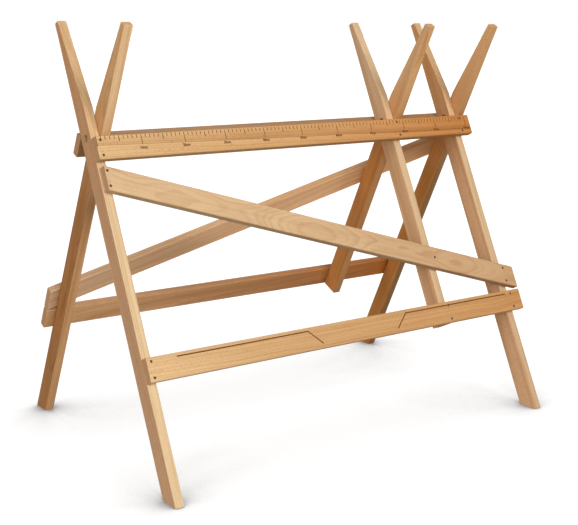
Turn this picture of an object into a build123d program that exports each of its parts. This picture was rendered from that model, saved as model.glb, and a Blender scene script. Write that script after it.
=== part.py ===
from build123d import *
import math
import os

# Folding sawhorse: two beech frames that cross in three X-shaped leg pairs.
# +X runs along the rails, +Y towards the back, +Z up.
# The origin is on the floor at the middle of the open sawhorse's footprint.
# All lengths are millimetres.

# ---- overall layout ----
overall_length = 1017.0
leg_tilt = 25.8               # each frame's lean from upright when open
pivot_height = 663.5          # pivot axis above the floor
middle_pair_from_left = 773.5  # left end of the boards to the middle pair

# ---- legs ----
leg_thickness = 20.0          # along X
leg_depth = 44.0
leg_above_pivot = 261.0
leg_tip_depth = 14.5          # what the taper leaves at the top
taper_above_pivot = 59.0      # where the taper starts
short_leg_below_pivot = 509.0
pair_gap = 0.5                # running gap between the two legs of a pair
leg_edge_radius = 1.6

# ---- boards ----
board_height = 49.0
board_thickness = 18.5
board_edge_radius = 2.5
board_end_radius = 0.8
stop_clearance = 0.15         # top rail to the other frame's legs when open
bottom_rail_below_pivot = 484.0  # to its centre line
front_brace_high = 96.5       # brace centre line below the pivot at each end
front_brace_low = 430.0
back_brace_high = 92.5
back_brace_low = 432.0
front_brace_inset = 5.0       # the front brace stops short of the left end

# ---- pivot bolts, M6 with washers and lock nuts ----
bolt_radius = 3.0
bolt_length = 30.0
bolt_head_height = 4.0
bolt_crown_radius = 5.75      # round that bevels the head's corners
bolt_crown_bevel = 0.8
hex_across_flats = 10.0
washer_radius = 6.0
washer_bore_radius = 3.2
washer_thickness = 1.6
counterbore_radius = 8.0
counterbore_depth = 10.0
fixed_bore_radius = 3.1
running_bore_radius = 3.075
thrust_clearance = 0.1
nut_hex_height = 4.2
nut_collar_height = 1.8
nut_collar_radius = 4.5
nut_collar_round = 0.8
nut_bore_radius = 3.05
nut_ring_radius = 3.9
nut_ring_height = 1.2
thread_end_chamfer = 0.4

# ---- nails ----
nail_radius = 1.25
nail_length = 38.0
nail_point_length = 3.0
nail_point_radius = 0.15
nail_head_radius = 2.9
nail_head_height = 1.0
nail_sunk_depth = 1.0         # board face to the top of the head
nail_hole_clearance = 0.05
nail_row_offset = 16.0        # from the board's centre line to each nail

# Every cutting shape runs this far past the face that it cuts.
cut_overrun = 1.0

# ---- derived sizes ----
left_end = -overall_length / 2
right_end = overall_length / 2
half_depth = leg_depth / 2
tilt = math.radians(leg_tilt)
pair_width = 2 * leg_thickness + pair_gap
pair_left = {
    "left": left_end,
    "middle": left_end + middle_pair_from_left,
    "right": right_end - pair_width,
}

# The rounded upper edge of a top rail meets the other frame's leg faces in
# the open pose, and that contact is the opening stop.
stop_round = 1 - math.sin(2 * tilt) - math.cos(2 * tilt)
top_rail_top = half_depth * math.tan(tilt) + stop_clearance
top_rail_top += board_edge_radius * stop_round / math.sin(2 * tilt)
top_rail_below_pivot = top_rail_top + board_height / 2

FRONT = -1
BACK = 1


def leg_left_face(side, pair):
    """X of a leg's left face: the back leg of a pair stands to the right."""
    shift = 0.0 if side == FRONT else leg_thickness + pair_gap
    return pair_left[pair] + shift


def leg_centre(side, pair):
    return leg_left_face(side, pair) + leg_thickness / 2


def lean(shape, side):
    """Lean a frame part about the pivot: front tops go back, and vice versa.

    Frame parts are drawn upright around the pivot, +Z up the legs, with
    the boards on the outer side: -Y for the front frame, +Y for the back.
    """
    return Pos(0, 0, pivot_height) * Rot(side * leg_tilt, 0, 0) * shape


def x_cylinder(radius, x_start, length):
    """A cylinder along +X on the pivot axis of an upright frame."""
    return Pos(x_start + length / 2, 0, 0) * Rot(0, 90, 0) * Cylinder(radius, length)


def x_hexagon(across_flats, x_start, length):
    profile = RegularPolygon(across_flats / 2, 6, major_radius=False)
    prism = extrude(profile, length)
    return Pos(x_start, 0, 0) * Rot(0, 90, 0) * prism


# ---- legs ----

def floor_height(side, y):
    """Where the floor is in an upright frame, at Y, once the frame leans."""
    return -(pivot_height + side * y * math.sin(tilt)) / math.cos(tilt)


def leg_blank(side, pair):
    """Upright leg from its foot to its tapered top, before any hole."""
    board_side = side * half_depth
    plain_side = -board_side
    tip = plain_side + side * leg_tip_depth
    plain_bottom = board_bottom = -short_leg_below_pivot
    if pair != "middle":
        plain_bottom = floor_height(side, plain_side)
        board_bottom = floor_height(side, board_side)
    outline = Polyline(
        (plain_side, plain_bottom),
        (plain_side, leg_above_pivot),
        (tip, leg_above_pivot),
        (board_side, taper_above_pivot),
        (board_side, board_bottom),
        close=True,
    )
    profile = make_face(Plane.YZ * outline)
    blank = extrude(profile, leg_thickness, dir=(1, 0, 0))
    return fillet(blank.edges(), leg_edge_radius)


def pivot_hole(side, x_left):
    """Bolt bore and counterbore: on the left of front legs, right of back."""
    radius = fixed_bore_radius if side == FRONT else running_bore_radius
    bore = x_cylinder(radius, x_left - cut_overrun, leg_thickness + 2 * cut_overrun)
    counterbore_start = x_left - cut_overrun
    if side == BACK:
        counterbore_start = x_left + leg_thickness - counterbore_depth
    length = counterbore_depth + cut_overrun
    return bore + x_cylinder(counterbore_radius, counterbore_start, length)


def make_leg(side, pair):
    x_left = leg_left_face(side, pair)
    leg = Pos(x_left, 0, 0) * leg_blank(side, pair)
    leg -= pivot_hole(side, x_left)
    for hole in nail_holes_in_leg(side, pair):
        leg -= hole
    return lean(leg, side)


# ---- boards ----

def brace_ends(side):
    """(X, height) of the brace's centre line at its left and right ends."""
    if side == FRONT:
        return (left_end + front_brace_inset, -front_brace_high), (right_end, -front_brace_low)
    return (left_end, -back_brace_low), (right_end, -back_brace_high)


def board_ends(side, board):
    if board == "brace":
        return brace_ends(side)
    below = top_rail_below_pivot if board == "top_rail" else bottom_rail_below_pivot
    return (left_end, -below), (right_end, -below)


def board_height_at(side, board, x):
    """Height of a board's centre line at X, in the upright frame."""
    (x0, z0), (x1, z1) = board_ends(side, board)
    return z0 + (z1 - z0) * (x - x0) / (x1 - x0)


def board_blank(side, board):
    """A rounded board whose two ends are cut square to the X axis."""
    (x0, z0), (x1, z1) = board_ends(side, board)
    slope = math.atan2(z1 - z0, x1 - x0)
    half_cut = board_height / 2 / math.cos(slope)
    outline = Polyline(
        (x0, z0 - half_cut),
        (x1, z1 - half_cut),
        (x1, z1 + half_cut),
        (x0, z0 + half_cut),
        close=True,
    )
    profile = make_face(Plane.XZ * outline)
    blank = extrude(profile, board_thickness, dir=(0, 1, 0))
    y_near = half_depth if side == BACK else -half_depth - board_thickness
    blank = Pos(0, y_near, 0) * blank
    long_edges = [edge for edge in blank.edges() if edge.length > overall_length / 2]
    rounded = fillet(long_edges, board_edge_radius)
    ends = rounded.faces().sort_by(Axis.X)
    end_edges = ends[0].edges() + ends[-1].edges()
    return fillet(end_edges, board_end_radius)


def make_board(side, board):
    blank = board_blank(side, board)
    for hole in nail_holes_in_board(side, board):
        blank -= hole
    return lean(blank, side)


# ---- nails ----

def nail_places(side, board, pair):
    """(X, height) of each nail where a board crosses one leg."""
    x = leg_centre(side, pair)
    z = board_height_at(side, board, x)
    if board == "brace" and pair == "middle":
        return [(x, z)]
    return [(x, z + nail_row_offset), (x, z - nail_row_offset)]


def board_outer_face(side):
    return side * (half_depth + board_thickness)


def along_y(shape, side, x, z, depth):
    """Turn a shape drawn along +Z so that it runs inwards from a depth."""
    y = board_outer_face(side) - side * depth
    turn = 90 if side == BACK else -90
    return Pos(x, y, z) * Rot(turn, 0, 0) * shape


def nail_shape():
    head = Pos(0, 0, nail_head_height / 2) * Cylinder(nail_head_radius, nail_head_height)
    straight = nail_length - nail_point_length
    shank = Pos(0, 0, straight / 2) * Cylinder(nail_radius, straight)
    point = Pos(0, 0, straight + nail_point_length / 2)
    point = point * Cone(nail_radius, nail_point_radius, nail_point_length)
    return head + shank + point


def nail_hole_shape():
    """Round hole for a sunk nail, from just above the face to the point."""
    wide = nail_head_radius + nail_hole_clearance
    mouth = 2 * nail_sunk_depth + nail_head_height
    head = Pos(0, 0, nail_head_height - mouth / 2) * Cylinder(wide, mouth)
    reach = nail_length + nail_hole_clearance
    narrow = nail_radius + nail_hole_clearance
    shank = Pos(0, 0, reach / 2) * Cylinder(narrow, reach)
    return head + shank


def nail_holes_at(side, board, pair):
    holes = []
    for x, z in nail_places(side, board, pair):
        holes.append(along_y(nail_hole_shape(), side, x, z, nail_sunk_depth))
    return holes


def nail_holes_in_leg(side, pair):
    holes = []
    for board in ("top_rail", "brace", "bottom_rail"):
        holes += nail_holes_at(side, board, pair)
    return holes


def nail_holes_in_board(side, board):
    holes = []
    for pair in pair_left:
        holes += nail_holes_at(side, board, pair)
    return holes


def make_nails(side, board):
    nails = []
    for pair in pair_left:
        for x, z in nail_places(side, board, pair):
            nail = along_y(nail_shape(), side, x, z, nail_sunk_depth)
            nails.append(lean(nail, side))
    return Compound(children=nails)


# ---- pivot hardware, drawn along +X from each pair's left face ----

head_washer_start = counterbore_depth - washer_thickness
nut_washer_start = pair_width - counterbore_depth + thrust_clearance
nut_start = nut_washer_start + washer_thickness


def make_bolt():
    head_start = head_washer_start - bolt_head_height
    head = x_hexagon(hex_across_flats, head_start, bolt_head_height)
    crown = x_cylinder(bolt_crown_radius, head_start, bolt_head_height)
    crown = chamfer(crown.edges().sort_by(Axis.X)[0], bolt_crown_bevel, bolt_crown_bevel / 2)
    shank = x_cylinder(bolt_radius, head_washer_start, bolt_length)
    shank = chamfer(shank.edges().sort_by(Axis.X)[-1], thread_end_chamfer)
    return (head & crown) + shank


def make_washer(x_start):
    disc = x_cylinder(washer_radius, x_start, washer_thickness)
    bore_start = x_start - cut_overrun
    bore_length = washer_thickness + 2 * cut_overrun
    return disc - x_cylinder(washer_bore_radius, bore_start, bore_length)


def make_lock_nut():
    body = x_hexagon(hex_across_flats, nut_start, nut_hex_height)
    collar_start = nut_start + nut_hex_height
    collar = x_cylinder(nut_collar_radius, collar_start, nut_collar_height)
    collar = fillet(collar.edges().sort_by(Axis.X)[-1], nut_collar_round)
    nut_height = nut_hex_height + nut_collar_height
    bore = x_cylinder(nut_bore_radius, nut_start - cut_overrun, nut_height + 2 * cut_overrun)
    seat = x_cylinder(nut_ring_radius, collar_start, nut_collar_height + cut_overrun)
    return body + collar - bore - seat


def make_nut_ring():
    collar_start = nut_start + nut_hex_height
    ring = x_cylinder(nut_ring_radius, collar_start, nut_ring_height)
    bore_start = collar_start - cut_overrun
    bore_length = nut_ring_height + 2 * cut_overrun
    return ring - x_cylinder(nut_bore_radius, bore_start, bore_length)


def at_pair(shape, pair):
    return lean(Pos(pair_left[pair], 0, 0) * shape, FRONT)


def at_every_pair(shape):
    return Compound(children=[at_pair(shape, pair) for pair in pair_left])


# ---- build and write every node ----

def build_nodes():
    nodes = {}
    for side_name, side in (("front", FRONT), ("back", BACK)):
        for pair in pair_left:
            nodes[f"{side_name}_leg_{pair}"] = make_leg(side, pair)
        for board in ("top_rail", "brace", "bottom_rail"):
            nodes[f"{side_name}_{board}"] = make_board(side, board)
            nodes[f"{side_name}_{board}_nails"] = make_nails(side, board)
    for pair in pair_left:
        nodes[f"pivot_bolt_{pair}"] = at_pair(make_bolt(), pair)
        nodes[f"lock_nut_{pair}"] = at_pair(make_lock_nut(), pair)
    nodes["bolt_head_washers"] = at_every_pair(make_washer(head_washer_start))
    nodes["lock_nut_washers"] = at_every_pair(make_washer(nut_washer_start))
    nodes["lock_nut_rings"] = at_every_pair(make_nut_ring())
    return nodes


os.makedirs("parts", exist_ok=True)
for node_name, shape in build_nodes().items():
    export_step(shape, f"parts/{node_name}.step")
    print(node_name, round(shape.volume))
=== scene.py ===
"""Looks for the folding log sawhorse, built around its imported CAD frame. Lengths are in metres."""

import math

import bmesh
import bpy
import numpy as np
from mathutils import Matrix, Vector


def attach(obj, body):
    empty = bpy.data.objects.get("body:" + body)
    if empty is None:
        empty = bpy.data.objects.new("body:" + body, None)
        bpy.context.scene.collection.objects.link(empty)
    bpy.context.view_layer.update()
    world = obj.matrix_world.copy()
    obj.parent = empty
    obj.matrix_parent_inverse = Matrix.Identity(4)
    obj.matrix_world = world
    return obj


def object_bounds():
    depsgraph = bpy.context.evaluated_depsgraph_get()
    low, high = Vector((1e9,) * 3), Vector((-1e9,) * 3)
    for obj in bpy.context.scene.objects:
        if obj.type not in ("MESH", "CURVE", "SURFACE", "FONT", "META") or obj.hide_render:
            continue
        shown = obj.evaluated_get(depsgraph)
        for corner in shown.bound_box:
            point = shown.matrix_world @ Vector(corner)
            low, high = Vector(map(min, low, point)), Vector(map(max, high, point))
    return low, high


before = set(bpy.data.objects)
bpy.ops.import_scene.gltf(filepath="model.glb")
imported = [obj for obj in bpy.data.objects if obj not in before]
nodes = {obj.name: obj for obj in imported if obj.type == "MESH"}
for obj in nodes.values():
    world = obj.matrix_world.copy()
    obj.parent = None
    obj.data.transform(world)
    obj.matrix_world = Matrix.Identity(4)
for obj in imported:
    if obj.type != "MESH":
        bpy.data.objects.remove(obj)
cad_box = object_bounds()
MM = 0.001

# ------------------------------------------------------------------ camera, light and floor

CAMERA_PLACE = Vector((-1.4884, -2.0629, 0.9032))
CAMERA_HEADING = math.radians(35.701)  # from +Y towards +X
CAMERA_PITCH = math.radians(-10.690)
CAMERA_ROLL = math.radians(0.495)
FOCAL_LENGTH = 70.05  # in millimetres, as is the sensor
SENSOR_WIDTH = 36.0
SHIFT_RIGHT = 0.00035
SHIFT_UP = -0.05443

# Far soft lights: direction, strength, width in degrees, colour.
SUNS = {
    "key": ((0.12, -0.88, 0.48), 2.05, 26.0, (1.0, 0.985, 0.96)),
    "fill": ((-0.85, -0.30, 0.50), 1.45, 60.0, (1.0, 0.99, 0.97)),
    "back_fill": ((0.55, 0.75, 0.36), 1.1, 70.0, (1.0, 0.985, 0.96)),
}
SOFTBOX_PLACE = Vector((-0.8, -1.6, 1.0))
SOFTBOX_AIM = Vector((-0.2, 0.0, 0.6))
SOFTBOX_POWER = 6.0
SOFTBOX_SIZE = 0.9
AMBIENT = (0.12, 0.105, 0.095, 1.0)
WHITE = (1.0, 1.0, 1.0, 1.0)

FLOOR_RADIUS = 60.0
FLOOR_GAP = 0.02 * MM
FLOOR_GLOW = 0.99
FLOOR_BOUNCE = (0.45, 0.44, 0.42, 1.0)
# The soft shadows fall to the left and back of the feet, so both kinds look up to the right and front.
CONTACT_REACH = 0.30
CONTACT_TOWARDS = Vector((0.70, -0.15, 0.70))
SHADOW_REACH = 0.9
SHADOW_TOWARDS = Vector((0.50, -0.22, 0.84))
# The openness where a shadow is full and where it ends, and the brightness of the paper at both.
CONTACT_RAMP = (0.52, 0.97, 0.25, 1.0)
SHADOW_RAMP = (0.85, 0.98, 0.88, 1.0)


def make_camera():
    """A camera left of and in front of the sawhorse, a little above its top."""
    forward = Vector(
        (
            math.sin(CAMERA_HEADING) * math.cos(CAMERA_PITCH),
            math.cos(CAMERA_HEADING) * math.cos(CAMERA_PITCH),
            math.sin(CAMERA_PITCH),
        )
    )
    level = Vector((math.cos(CAMERA_HEADING), -math.sin(CAMERA_HEADING), 0.0))
    upright = level.cross(forward)
    right = level * math.cos(CAMERA_ROLL) + upright * math.sin(CAMERA_ROLL)
    up = upright * math.cos(CAMERA_ROLL) - level * math.sin(CAMERA_ROLL)
    data = bpy.data.cameras.new("camera")
    data.lens = FOCAL_LENGTH
    data.sensor_width = SENSOR_WIDTH
    data.shift_x = SHIFT_RIGHT
    data.shift_y = SHIFT_UP
    camera = bpy.data.objects.new("camera", data)
    turn = Matrix((right, up, -forward)).transposed().to_4x4()
    camera.matrix_world = Matrix.Translation(CAMERA_PLACE) @ turn
    bpy.context.scene.collection.objects.link(camera)
    bpy.context.scene.camera = camera


def add_light(name, kind, towards, strength):
    """A light that stands in a direction from what it lights, for its caller to place."""
    data = bpy.data.lights.new(name, kind)
    data.energy = strength
    light = bpy.data.objects.new(name, data)
    light.rotation_mode = "QUATERNION"
    light.rotation_quaternion = towards.to_track_quat("Z", "Y")
    bpy.context.scene.collection.objects.link(light)
    return light


def make_lights():
    """Three wide suns and a square softbox near the left end, whose light fades along the sawhorse."""
    for name, (direction, strength, width, colour) in SUNS.items():
        sun = add_light(name, "SUN", Vector(direction), strength)
        sun.data.angle = math.radians(width)
        sun.data.color = colour
    softbox = add_light("softbox", "AREA", SOFTBOX_PLACE - SOFTBOX_AIM, SOFTBOX_POWER)
    softbox.data.size = SOFTBOX_SIZE
    softbox.location = SOFTBOX_PLACE


def make_world():
    """A white backdrop that lights the scene with a weak ambient colour."""
    world = bpy.data.worlds.new("studio")
    bpy.context.scene.world = world
    world.use_nodes = True
    world.node_tree.nodes.clear()
    t = Tree(world.node_tree)
    path = t.node("LightPath")
    background = t.node("Background")
    seen = t.mix(path.outputs["Is Camera Ray"], AMBIENT, WHITE)
    t.link(seen, background.inputs["Color"])
    t.link(background.outputs["Background"], t.node("OutputWorld").inputs["Surface"])


def make_floor():
    """A wide round floor just below the feet."""
    mesh = bpy.data.meshes.new("floor")
    shape = bmesh.new()
    bmesh.ops.create_circle(shape, cap_ends=True, radius=FLOOR_RADIUS, segments=96)
    shape.to_mesh(mesh)
    shape.free()
    floor = bpy.data.objects.new("floor", mesh)
    bpy.context.scene.collection.objects.link(floor)
    floor.location.z = cad_box[0].z - FLOOR_GAP
    mesh.materials.append(make_paper())


# ------------------------------------------------------------------ node helpers


class Tree:
    """Short calls for building a node tree."""

    def __init__(self, tree):
        self.tree = tree

    def node(self, kind, **settings):
        made = self.tree.nodes.new("ShaderNode" + kind)
        for key, value in settings.items():
            setattr(made, key, value)
        return made

    def link(self, output, target):
        """Joins an output to an input, or sets the input to a plain value."""
        if isinstance(output, bpy.types.NodeSocket):
            self.tree.links.new(output, target)
        else:
            target.default_value = output

    def math(self, operation, *values, clamp=False):
        made = self.node("Math", operation=operation, use_clamp=clamp)
        for value, target in zip(values, made.inputs, strict=False):
            self.link(value, target)
        return made.outputs["Value"]

    def vector(self, x, y, z):
        made = self.node("CombineXYZ")
        for value, target in zip((x, y, z), made.inputs, strict=True):
            self.link(value, target)
        return made.outputs["Vector"]

    def scaled(self, vector, factors):
        made = self.node("VectorMath", operation="MULTIPLY")
        self.link(vector, made.inputs[0])
        self.link(factors, made.inputs[1])
        return made.outputs["Vector"]

    def dot(self, vector, direction):
        made = self.node("VectorMath", operation="DOT_PRODUCT")
        self.link(vector, made.inputs[0])
        made.inputs[1].default_value = direction
        return made.outputs["Value"]

    def noise(self, vector, detail=2.0, roughness=0.5, scale=1.0):
        made = self.node("TexNoise", noise_dimensions="3D")
        self.link(vector, made.inputs["Vector"])
        made.inputs["Scale"].default_value = scale
        made.inputs["Detail"].default_value = detail
        made.inputs["Roughness"].default_value = roughness
        return made.outputs["Fac"]

    def centred(self, value):
        """A value of 0..1 moved to -0.5..0.5."""
        return self.math("SUBTRACT", value, 0.5)

    def ramp(self, value, low, high, start=0.0, end=1.0, smooth=True):
        """value from low..high to start..end, clamped."""
        made = self.node("MapRange", clamp=True)
        made.interpolation_type = "SMOOTHSTEP" if smooth else "LINEAR"
        self.link(value, made.inputs["Value"])
        self.link(low, made.inputs["From Min"])
        self.link(high, made.inputs["From Max"])
        self.link(start, made.inputs["To Min"])
        self.link(end, made.inputs["To Max"])
        return made.outputs["Result"]

    def mix(self, share, first, second):
        """A colour from first to second."""
        made = self.node("Mix", data_type="RGBA")
        self.link(share, made.inputs["Factor"])
        self.link(first, made.inputs[6])
        self.link(second, made.inputs[7])
        return made.outputs[2]

    def bump(self, height, strength, depth, shader):
        """Gives a shader a fine relief."""
        made = self.node("Bump")
        made.inputs["Strength"].default_value = strength
        made.inputs["Distance"].default_value = depth
        self.link(height, made.inputs["Height"])
        self.link(made.outputs["Normal"], shader.inputs["Normal"])


def new_material(name):
    """An empty material and its tree."""
    material = bpy.data.materials.new(name)
    material.use_nodes = True
    material.node_tree.nodes.clear()
    return material, Tree(material.node_tree)


# ------------------------------------------------------------------ beech

PALE = (0.70, 0.475, 0.275, 1.0)
DEEP = (0.50, 0.285, 0.135, 1.0)
RAY = (0.27, 0.135, 0.062, 1.0)
PORE = (0.20, 0.10, 0.045, 1.0)
END_GRAIN = (0.55, 0.29, 0.15, 1.0)
GROWTH_LINE_TINT = (0.62, 0.48, 0.34)
BEECH_SPECULAR = 0.35
BEECH_BUMP = 0.35
BEECH_RELIEF = 0.25 * MM

# How much each part of the figure shows.
BAND_SHOW = 0.50
RING_SHOW = 0.55
STREAK_SHOW = 0.75
FIBRE_SHOW = 0.38
PATCH_SHOW = 0.60
RAY_SHOW = 0.32
PORE_SHOW = 0.22
END_GRAIN_SHOW = 0.72

# How often the figure's parts repeat in a metre along the log, across it and through it.
WAVES = (9.0, 30.0, 30.0)
FIBRES = (14.0, 850.0, 850.0)
STREAKS = (3.0, 150.0, 150.0)
PORES = (420.0, 3600.0, 3600.0)
PATCHES = (5.0, 26.0, 26.0)
SWAYS = 2.6
RINGS = 290.0
RAYS_ALONG, RAYS_OUTWARDS, RAYS_ROUND = 520.0, 190.0, 2400.0

# Tones of each piece, partly the wood's own tone and partly painted shade, which darkens and warms the parts
# and faces that get less light: most boards towards their right ends, the back legs low down, and the legs'
# wide faces. A board has one at its left end and one at its right end. A leg has one low down and one at its
# top for its narrow faces, and then the same for its wide faces.
TONES_AND_PAINTED_SHADE = {
    "front_leg_left": ((1.04, 1.16, 1.19), (1.00, 1.02, 0.98), (1.08, 0.96, 0.94), (1.09, 0.91, 0.78)),
    "front_leg_middle": ((0.93, 0.96, 0.98), (0.95, 1.00, 1.02), (1.14, 1.02, 0.94), (1.05, 1.00, 1.05)),
    "front_leg_right": ((0.90, 0.93, 0.93), (0.98, 0.95, 0.87), (1.13, 1.00, 0.93), (0.97, 0.72, 0.48)),
    "front_top_rail": ((0.96, 0.94, 0.79), (0.77, 0.48, 0.18)),
    "front_brace": ((1.00, 1.06, 1.07), (0.78, 0.70, 0.62)),
    "front_bottom_rail": ((1.00, 1.00, 0.87), (0.82, 0.62, 0.37)),
    "back_leg_left": ((0.87, 0.71, 0.56), (1.20, 1.21, 1.17), (0.70, 0.46, 0.24), (1.10, 0.93, 0.74)),
    "back_leg_middle": ((0.72, 0.54, 0.36), (1.12, 0.99, 0.81), (0.99, 0.62, 0.28), (1.13, 1.03, 0.92)),
    "back_leg_right": ((0.42, 0.32, 0.21), (0.94, 0.78, 0.59), (0.94, 0.59, 0.23), (1.11, 0.93, 0.72)),
    "back_top_rail": ((0.71, 0.67, 0.62), (0.58, 0.41, 0.24)),
    "back_brace": ((1.09, 1.12, 1.25), (1.15, 0.99, 0.80)),
    "back_bottom_rail": ((0.99, 0.91, 0.82), (0.61, 0.30, 0.07)),
}
# A leg's tone and painted shade change over this share of its length, from its foot.
LEG_TONE_AND_PAINTED_SHADE_RUN = (0.58, 0.85)
# Where in a log a piece was cut: the side in degrees, the distance from the log's axis, how far that
# axis sways, and the place along the log. The other pieces draw theirs.
CUTS = {
    "front_brace": (86.0, 0.075, 0.060, 2.65),
    "front_top_rail": (25.0, 0.16, 0.012, 5.0),
    "front_bottom_rail": (40.0, 0.10, 0.030, 2.0),
}
DRAWN_SWAY = 0.025
FIRST_DRAW = 11
# A dark growth line's distances below the top edge at a board's left end and right end.
GROWTH_LINES = {"front_top_rail": (21.0 * MM, 38.0 * MM)}
GROWTH_LINE_WAVES = 7.0
GROWTH_LINE_SWING = 7 * MM
GROWTH_LINE_SOFT = 1.5 * MM
GROWTH_LINE_SHADE = 15 * MM


def make_beech_group():
    """The figure of beech as a solid pattern about a log's axis, which is the X axis of its input."""
    group = bpy.data.node_groups.new("BeechFigure", "ShaderNodeTree")
    sockets = [
        ("Log point", "INPUT", "NodeSocketVector"),
        ("End grain", "INPUT", "NodeSocketFloat"),
        ("Sway", "INPUT", "NodeSocketFloat"),
        ("Color", "OUTPUT", "NodeSocketColor"),
        ("Roughness", "OUTPUT", "NodeSocketFloat"),
        ("Height", "OUTPUT", "NodeSocketFloat"),
    ]
    for name, direction, kind in sockets:
        group.interface.new_socket(name, in_out=direction, socket_type=kind)
    t = Tree(group)
    given = group.nodes.new("NodeGroupInput").outputs
    result = group.nodes.new("NodeGroupOutput").inputs
    point = given["Log point"]
    split = t.node("SeparateXYZ")
    t.link(point, split.inputs["Vector"])
    along, across, through = split.outputs

    # The log's axis wanders from side to side along its length, twice as far through as across.
    sway_across = t.noise(t.vector(t.math("MULTIPLY", along, SWAYS), 0.3, 4.1), detail=1.0)
    sway_through = t.noise(t.vector(t.math("MULTIPLY", along, SWAYS), 7.7, 1.9), detail=1.0)
    half_sway = t.math("MULTIPLY", given["Sway"], 0.5)
    across = t.math("MULTIPLY_ADD", t.centred(sway_across), half_sway, across)
    through = t.math("MULTIPLY_ADD", t.centred(sway_through), given["Sway"], through)

    # Growth rings: distance from that axis, uneven, with a thin dark line of late wood.
    square = t.math("ADD", t.math("MULTIPLY", across, across), t.math("MULTIPLY", through, through))
    radius = t.math("SQRT", square)
    wave = t.noise(t.scaled(point, WAVES))
    bent = t.math("MULTIPLY_ADD", t.centred(wave), 5 * MM, radius)
    uneven = t.noise(t.vector(t.math("MULTIPLY", bent, 70.0), 3.1, 5.7), detail=1.0)
    rings = t.math("ADD", t.math("MULTIPLY", bent, RINGS), t.math("MULTIPLY", uneven, 5.0))
    share = t.math("FRACT", rings)
    late = t.math("MULTIPLY", t.ramp(share, 0.35, 0.9), t.ramp(share, 0.93, 1.0, 1.0, 0.0))
    each = t.node("TexWhiteNoise", noise_dimensions="1D")
    t.link(t.math("FLOOR", rings), each.inputs["W"])
    ring = t.math("MULTIPLY", late, t.ramp(each.outputs["Value"], 0.0, 1.0, 0.25, 1.0, smooth=False))
    # Broad bands, several rings wide, that show as the slow changes of tone along a board.
    band = t.noise(t.vector(t.math("MULTIPLY", bent, 95.0), t.math("MULTIPLY", along, 0.8), 0.4))

    # Rays: thin sheets that stand out from the axis, short dashes on one face and flecks on the other.
    turn = t.math("MULTIPLY", t.math("ARCTAN2", through, across), radius)
    ray_point = t.vector(
        t.math("MULTIPLY", along, RAYS_ALONG),
        t.math("MULTIPLY", radius, RAYS_OUTWARDS),
        t.math("MULTIPLY", turn, RAYS_ROUND),
    )
    ray = t.ramp(t.noise(ray_point, detail=0.0), 0.62, 0.74)

    # Fibres and pores, long and very thin, and slow patches.
    fibre = t.noise(t.scaled(point, FIBRES), detail=3.0, roughness=0.6)
    streak = t.noise(t.scaled(point, STREAKS))
    pore = t.ramp(t.noise(t.scaled(point, PORES), detail=1.0), 0.60, 0.70)
    patch = t.noise(t.scaled(point, PATCHES))

    tone = t.math("MULTIPLY", t.ramp(band, 0.32, 0.68), BAND_SHOW)
    tone = t.math("MULTIPLY_ADD", ring, RING_SHOW, tone)
    tone = t.math("MULTIPLY_ADD", t.centred(streak), STREAK_SHOW, tone)
    tone = t.math("MULTIPLY_ADD", t.centred(fibre), FIBRE_SHOW, tone)
    tone = t.math("MULTIPLY_ADD", t.centred(patch), PATCH_SHOW, tone)
    tone = t.math("MAXIMUM", tone, 0.0, clamp=True)
    colour = t.mix(tone, PALE, DEEP)
    flecked = t.mix(t.math("MULTIPLY", ray, RAY_SHOW), colour, RAY)
    pored = t.mix(t.math("MULTIPLY", pore, PORE_SHOW), flecked, PORE)
    t.link(pored, result["Color"])

    # Rays are smoother than the fibres, and end grain is rougher.
    rough = t.math("MULTIPLY_ADD", fibre, 0.16, 0.50)
    rough = t.math("MULTIPLY_ADD", ray, -0.10, rough)
    t.link(t.math("MULTIPLY_ADD", given["End grain"], 0.15, rough), result["Roughness"])
    height = t.math("MULTIPLY_ADD", ring, -0.35, t.math("MULTIPLY", fibre, 0.9))
    height = t.math("MULTIPLY_ADD", pore, -0.6, height)
    t.link(t.math("MULTIPLY_ADD", ray, 0.2, height), result["Height"])
    return group


def own_frame(obj):
    """A straight piece's middle, its long, wide and thin directions, and its half sizes along them."""
    faces = obj.data.polygons
    area = np.array([f.area for f in faces])
    centre = np.array([f.center for f in faces])
    normal = np.array([f.normal for f in faces])
    offset = centre - np.average(centre, axis=0, weights=area)
    spread = (offset * area[:, None]).T @ offset
    rough_long = np.linalg.eigh(spread)[1][:, 2]
    thin = normal[np.argmax(area)]
    rough_wide = np.cross(thin, rough_long)
    sideways = area * (np.abs(normal @ rough_wide) / np.linalg.norm(rough_wide) > 0.99)
    wide = normal[np.argmax(sideways)]
    thin = thin * (1 if thin @ (-1, -1, 0) > 0 else -1)
    wide = wide * (1 if wide[2] > 0 else -1)
    axes = np.array([np.cross(wide, thin), wide, thin])
    points = np.array([v.co for v in obj.data.vertices]) @ axes.T
    middle, half = (points.max(0) + points.min(0)) / 2, (points.max(0) - points.min(0)) / 2
    return middle @ axes, axes, half


def log_place(cut, number, middle, axes):
    """The turn and the move that put a piece in its log, and how far that log's axis sways."""
    chance = np.random.RandomState(number + FIRST_DRAW)
    drawn = (chance.uniform(0.0, 360.0), chance.uniform(0.05, 0.11), DRAWN_SWAY, chance.uniform(0.0, 9.0))
    side, away, sway, start = cut or drawn
    side = math.radians(side)
    run_out = Matrix.Rotation(math.radians(chance.uniform(0.5, 1.3)) * chance.choice((-1, 1)), 3, "Y")
    run_out = Matrix.Rotation(math.radians(chance.uniform(-0.8, 0.8)), 3, "Z") @ run_out
    turn = run_out @ Matrix(axes.tolist())
    move = Vector((start, away * math.cos(side), away * math.sin(side))) - turn @ Vector(middle)
    return turn.to_euler("XYZ"), move, sway


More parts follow.
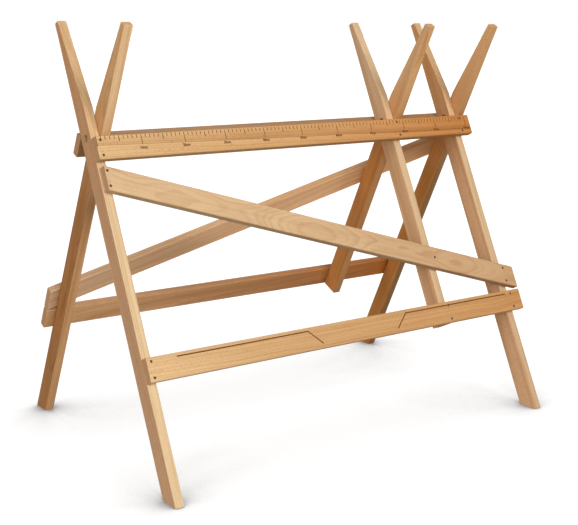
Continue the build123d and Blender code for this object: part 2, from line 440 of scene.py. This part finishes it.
def growth_line(t, place, middle, axes, half, drops):
    """How dark the wood is at and above a growth line that crosses a board's face."""
    slope = (drops[0] - drops[1]) / (2 * half[0])
    upwards = axes[1] - slope * axes[0]
    height = half[1] - (drops[0] + drops[1]) / 2 + float(middle @ upwards)
    wander = t.noise(place, scale=GROWTH_LINE_WAVES)
    above = t.math("SUBTRACT", t.dot(place, upwards), height)
    above = t.math("MULTIPLY_ADD", t.centred(wander), GROWTH_LINE_SWING, above)
    line = t.ramp(above, 0.3 * MM, GROWTH_LINE_SOFT, 0.70, 0.0)
    shade = t.ramp(above, 0.3 * MM, GROWTH_LINE_SHADE, 0.30, 0.0)
    return t.math("MULTIPLY", t.math("ADD", line, shade), t.ramp(above, -0.6 * MM, 0.1 * MM))


def tone_and_painted_shade(t, name, place, normal, middle, axes, half):
    """A piece's tone and painted shade at a place, from its low or left end to its other end, with a leg's
    wide faces shaded apart from its narrow ones.
    """
    low, high, wide_low, wide_high = TONES_AND_PAINTED_SHADE[name] if "leg" in name else TONES_AND_PAINTED_SHADE[name] * 2
    begin, end = LEG_TONE_AND_PAINTED_SHADE_RUN if "leg" in name else (0.0, 1.0)
    if axes[0] @ (1, 0, 1) < 0:
        begin, end = 1.0 - begin, 1.0 - end
    first, length = float(middle @ axes[0]) - half[0], 2 * half[0]
    share = t.ramp(t.dot(place, axes[0]), first + length * begin, first + length * end, smooth=False)
    # Painted shade: a leg's wide faces take a tone of their own, as shaded copies of the narrow faces' tone.
    on_wide = t.ramp(t.math("ABSOLUTE", t.dot(normal, axes[2])), 0.6, 0.9)
    narrow_tone_and_painted_shade = t.mix(share, (*low, 1.0), (*high, 1.0))
    wide_tone_and_painted_shade = t.mix(share, (*wide_low, 1.0), (*wide_high, 1.0))
    return t.mix(on_wide, narrow_tone_and_painted_shade, wide_tone_and_painted_shade)


def beech(name, group, number):
    """A beech material for one piece: its grain runs along the piece, in a log of its own."""
    middle, axes, half = own_frame(nodes[name])
    turn, move, sway = log_place(CUTS.get(name), number, middle, axes)
    material, t = new_material("beech_" + name)
    coordinates = t.node("TexCoord")
    place, normal = coordinates.outputs["Object"], coordinates.outputs["Normal"]
    mapping = t.node("Mapping", vector_type="POINT")
    mapping.inputs["Rotation"].default_value = turn
    mapping.inputs["Location"].default_value = move
    t.link(place, mapping.inputs["Vector"])
    cut_across = t.ramp(t.math("ABSOLUTE", t.dot(normal, axes[0])), 0.35, 0.85)
    figure = t.node("Group", node_tree=group)
    t.link(mapping.outputs["Vector"], figure.inputs["Log point"])
    t.link(cut_across, figure.inputs["End grain"])
    figure.inputs["Sway"].default_value = sway

    # The figure takes the piece's tone, which is in part painted shade.
    colour = t.scaled(figure.outputs["Color"], tone_and_painted_shade(t, name, place, normal, middle, axes, half))
    if name in GROWTH_LINES:
        dark = growth_line(t, place, middle, axes, half, GROWTH_LINES[name])
        colour = t.mix(dark, colour, t.scaled(colour, GROWTH_LINE_TINT))
    colour = t.mix(t.math("MULTIPLY", cut_across, END_GRAIN_SHOW), colour, END_GRAIN)
    shader = t.node("BsdfPrincipled")
    shader.inputs["Specular IOR Level"].default_value = BEECH_SPECULAR
    t.link(colour, shader.inputs["Base Color"])
    t.link(figure.outputs["Roughness"], shader.inputs["Roughness"])
    t.bump(figure.outputs["Height"], BEECH_BUMP, BEECH_RELIEF, shader)
    t.link(shader.outputs["BSDF"], t.node("OutputMaterial").inputs["Surface"])
    return material


# ------------------------------------------------------------------ the other materials

PATCH_RAMP = (0.3, 0.7)  # where a noise turns from one side of a material to the other
SURFACE_RELIEF = 0.2 * MM


def surface(name, colours, colour_scale, roughness, roughness_scale, grain_scale, **settings):
    """A material that wanders in patches of 1 / scale metres between two colours and two roughnesses.

    Its fine relief has grains of 1 / grain_scale metres. settings may give metallic, bump and specular.
    """
    material, t = new_material(name)
    shader = t.node("BsdfPrincipled")
    shader.inputs["Metallic"].default_value = settings.get("metallic", 0.0)
    shader.inputs["Specular IOR Level"].default_value = settings.get("specular", 0.5)
    place = t.node("TexCoord").outputs["Object"]
    patches = t.ramp(t.noise(place, detail=3.0, scale=colour_scale), *PATCH_RAMP)
    first, second = colours
    t.link(t.mix(patches, (*first, 1.0), (*second, 1.0)), shader.inputs["Base Color"])
    rough = t.ramp(t.noise(place, scale=roughness_scale), *PATCH_RAMP, *roughness)
    t.link(rough, shader.inputs["Roughness"])
    grain = t.noise(place, detail=3.0, scale=grain_scale)
    t.bump(grain, settings.get("bump", 0.3), SURFACE_RELIEF, shader)
    t.link(shader.outputs["BSDF"], t.node("OutputMaterial").inputs["Surface"])
    return material


def make_other_materials():
    """The materials of everything that is not wood, by the record's slot."""
    scorched = ((0.090, 0.030, 0.007), (0.21, 0.078, 0.018))
    zinc = ((0.50, 0.50, 0.47), (0.68, 0.68, 0.66))
    dark_steel = ((0.048, 0.027, 0.015), (0.110, 0.064, 0.036))
    nylon = ((0.62, 0.64, 0.66), (0.72, 0.73, 0.74))
    looks = {
        "scorched_mark": (scorched, 900.0, (0.72, 0.88), 700.0, 2500.0, {"specular": 0.15}),
        "zinc_steel": (zinc, 240.0, (0.28, 0.46), 600.0, 1500.0, {"metallic": 1.0, "bump": 0.15}),
        "nail_steel": (dark_steel, 800.0, (0.50, 0.70), 900.0, 1800.0, {"specular": 0.25}),
        "nylon": (nylon, 300.0, (0.30, 0.42), 500.0, 1200.0, {"bump": 0.1}),
    }
    return {name: surface(name, *values, **settings) for name, (*values, settings) in looks.items()}


def openness(t, samples, reach, towards):
    """How little stands within reach of a place, towards one side."""
    made = t.node("AmbientOcclusion", samples=samples)
    made.inputs["Distance"].default_value = reach
    made.inputs["Normal"].default_value = towards.normalized()
    return made.outputs["AO"]


def make_paper():
    """Matt studio paper that glows for the camera, with soft contact shadows painted into that glow, and
    that throws little light back.
    """
    greys = ((0.155, 0.155, 0.155), (0.165, 0.165, 0.165))
    material = surface("paper", greys, 3.0, (0.75, 0.85), 40.0, 300.0, bump=0.05)
    tree = material.node_tree
    t = Tree(tree)
    bright = tree.nodes["Principled BSDF"]
    contact = t.ramp(openness(t, 8, CONTACT_REACH, CONTACT_TOWARDS), *CONTACT_RAMP)
    soft = t.ramp(openness(t, 16, SHADOW_REACH, SHADOW_TOWARDS), *SHADOW_RAMP, smooth=False)
    bright.inputs["Emission Color"].default_value = WHITE
    # Painted shadow: the glow dims where little open space is around a place, near and under the sawhorse.
    glow = t.math("MULTIPLY", t.math("MULTIPLY", contact, soft), FLOOR_GLOW)
    t.link(glow, bright.inputs["Emission Strength"])
    dim = t.node("BsdfDiffuse")
    dim.inputs["Color"].default_value = FLOOR_BOUNCE
    chosen = t.node("MixShader")
    t.link(t.node("LightPath").outputs["Is Camera Ray"], chosen.inputs["Fac"])
    t.link(dim.outputs["BSDF"], chosen.inputs[1])
    t.link(bright.outputs["BSDF"], chosen.inputs[2])
    t.link(chosen.outputs["Shader"], tree.nodes["Material Output"].inputs["Surface"])
    return material


def finish_of(name):
    """The slot of a node that is not wood."""
    if name.endswith("_nails"):
        return "nail_steel"
    return "nylon" if name == "lock_nut_rings" else "zinc_steel"


def dress(name, material):
    """Gives every material slot of a CAD node one material."""
    for slot in nodes[name].material_slots:
        slot.material = material


# ------------------------------------------------------------------ marks burnt into the front boards

MARK_BELOW = -0.40 * MM
MARK_ABOVE = 0.06 * MM
CENTIMETRE = 10 * MM
RULE_START = 1.2 * MM
RULE_LENGTH = 100  # in centimetres
RULE_SLOPE = 0.004  # how far the rule drops from the board's edge in a metre
TICK_TOP = 1.6 * MM
TICK_TOP_WIDTH = 1.4 * MM
# The foot's depth below the edge and the foot's width of every tenth, fifth and other mark.
TICKS = {10: (22.5 * MM, 1.5 * MM), 5: (12.5 * MM, 2.0 * MM), 1: (7.5 * MM, 1.8 * MM)}
NUMBER_SIZE = 8.0 * MM
NUMBER_BOLDNESS = 0.36 * MM
NUMBER_BASELINE = 32.0 * MM
NUMBER_SHIFT = 0.5 * MM

STRIPE_WIDTH = 2.7 * MM
STRIPE_OUTER, STRIPE_TURN, STRIPE_INNER = 67 * MM, 382 * MM, 413 * MM
STRIPE_HIGH, STRIPE_LOW = 8 * MM, 38 * MM
STRIPE_MIRROR = 1035 * MM  # twice the distance of the pair's middle from the board's left end


class FrontFace:
    """The front face of a board. A place on it is a distance from the left end and one from the top edge."""

    def __init__(self, node):
        middle, self.axes, half = own_frame(nodes[node])
        self.corner = middle + (-half[0], half[1], half[2]) @ self.axes

    def place(self, right, down, out):
        return self.corner + (right, -down, out) @ self.axes

    def matrix(self, right, down, out):
        turn = Matrix(self.axes.tolist()).transposed().to_4x4()
        return Matrix.Translation(self.place(right, down, out)) @ turn


def outline(points, widths):
    """The outline of a stroke along points, with round ends and mitred turns."""
    points = np.array(points, float)
    steps = np.diff(points, axis=0)
    steps /= np.linalg.norm(steps, axis=1)[:, None]
    sides = np.stack([-steps[:, 1], steps[:, 0]], axis=1)
    left, right = [], []
    for i, (point, width) in enumerate(zip(points, widths, strict=True)):
        before, after = sides[max(i - 1, 0)], sides[min(i, len(sides) - 1)]
        mitre = (before + after) / (1.0 + before @ after)
        left.append(point + mitre * width / 2)
        right.append(point - mitre * width / 2)
    angles = np.linspace(0.0, math.pi, 7)[1:-1]
    end = [points[-1] + widths[-1] / 2 * (math.cos(a) * sides[-1] + math.sin(a) * steps[-1]) for a in angles]
    start = [points[0] - widths[0] / 2 * (math.cos(a) * sides[0] + math.sin(a) * steps[0]) for a in angles]
    return left + end + right[::-1] + start


def add_stroke(shape, face, points, widths):
    """A thin closed slab for one burnt line."""
    line = outline(points, widths)
    low = [shape.verts.new(face.place(x, y, MARK_BELOW)) for x, y in line]
    high = [shape.verts.new(face.place(x, y, MARK_ABOVE)) for x, y in line]
    shape.faces.new(low[::-1])
    shape.faces.new(high)
    for i in range(len(line)):
        j = (i + 1) % len(line)
        shape.faces.new((low[i], low[j], high[j], high[i]))


def finish_marks(shape, name, material):
    """Turns the strokes into a piece that rides with the front frame."""
    bmesh.ops.recalc_face_normals(shape, faces=shape.faces)
    mesh = bpy.data.meshes.new(name)
    shape.to_mesh(mesh)
    shape.free()
    mesh.materials.append(material)
    piece = bpy.data.objects.new(name, mesh)
    bpy.context.scene.collection.objects.link(piece)
    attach(piece, "front_frame")


def make_rule(face, material):
    """A centimetre rule along the top edge of the top rail."""
    shape = bmesh.new()
    for i in range(RULE_LENGTH + 1):
        depth, foot_width = next(TICKS[step] for step in TICKS if i % step == 0)
        x = RULE_START + i * CENTIMETRE
        drop = RULE_SLOPE * x
        line = [(x, TICK_TOP + drop), (x, depth + drop)]
        add_stroke(shape, face, line, [TICK_TOP_WIDTH, foot_width])
    finish_marks(shape, "rule_marks", material)


def number_mesh(centimetres):
    """The letters of one length, lying flat about the middle of their baseline."""
    text = bpy.data.curves.new("number", "FONT")
    text.body = f"{centimetres}cm"
    text.size = NUMBER_SIZE
    text.offset = NUMBER_BOLDNESS
    text.align_x = "CENTER"
    text.extrude = (MARK_ABOVE - MARK_BELOW) / 2
    text.resolution_u = 3
    holder = bpy.data.objects.new("number", text)
    bpy.context.scene.collection.objects.link(holder)
    bpy.context.view_layer.update()
    mesh = bpy.data.meshes.new_from_object(holder.evaluated_get(bpy.context.evaluated_depsgraph_get()))
    bpy.data.objects.remove(holder)
    bpy.data.curves.remove(text)
    return mesh


def make_rule_numbers(face, material):
    """The length in centimetres below each long mark."""
    shape = bmesh.new()
    for i in range(10, RULE_LENGTH + 1, 10):
        mesh = number_mesh(i)
        x = RULE_START + i * CENTIMETRE + NUMBER_SHIFT
        baseline = NUMBER_BASELINE + RULE_SLOPE * x
        mesh.transform(face.matrix(x, baseline, (MARK_ABOVE + MARK_BELOW) / 2))
        shape.from_mesh(mesh)
        bpy.data.meshes.remove(mesh)
    bmesh.ops.remove_doubles(shape, verts=shape.verts, dist=0.001 * MM)
    finish_marks(shape, "rule_numbers", material)


def make_pinstripes(face, material):
    """A line near the bottom rail's top edge, left and right, that slants down at its inner end."""
    shape = bmesh.new()
    left = [(STRIPE_OUTER, STRIPE_HIGH), (STRIPE_TURN, STRIPE_HIGH), (STRIPE_INNER, STRIPE_LOW)]
    right = [(STRIPE_MIRROR - x, y) for x, y in left]
    for line in (left, right):
        add_stroke(shape, face, line, [STRIPE_WIDTH] * len(line))
    finish_marks(shape, "pinstripes", material)


# ------------------------------------------------------------------ put together

make_camera()
make_world()
make_lights()
bpy.context.scene.view_settings.view_transform = "Standard"
make_floor()

figure_group = make_beech_group()
for number, name in enumerate(sorted(TONES_AND_PAINTED_SHADE)):
    dress(name, beech(name, figure_group, number))
others = make_other_materials()
for name in nodes:
    if name not in TONES_AND_PAINTED_SHADE:
        dress(name, others[finish_of(name)])

top_rail = FrontFace("front_top_rail")
make_rule(top_rail, others["scorched_mark"])
make_rule_numbers(top_rail, others["scorched_mark"])
make_pinstripes(FrontFace("front_bottom_rail"), others["scorched_mark"])
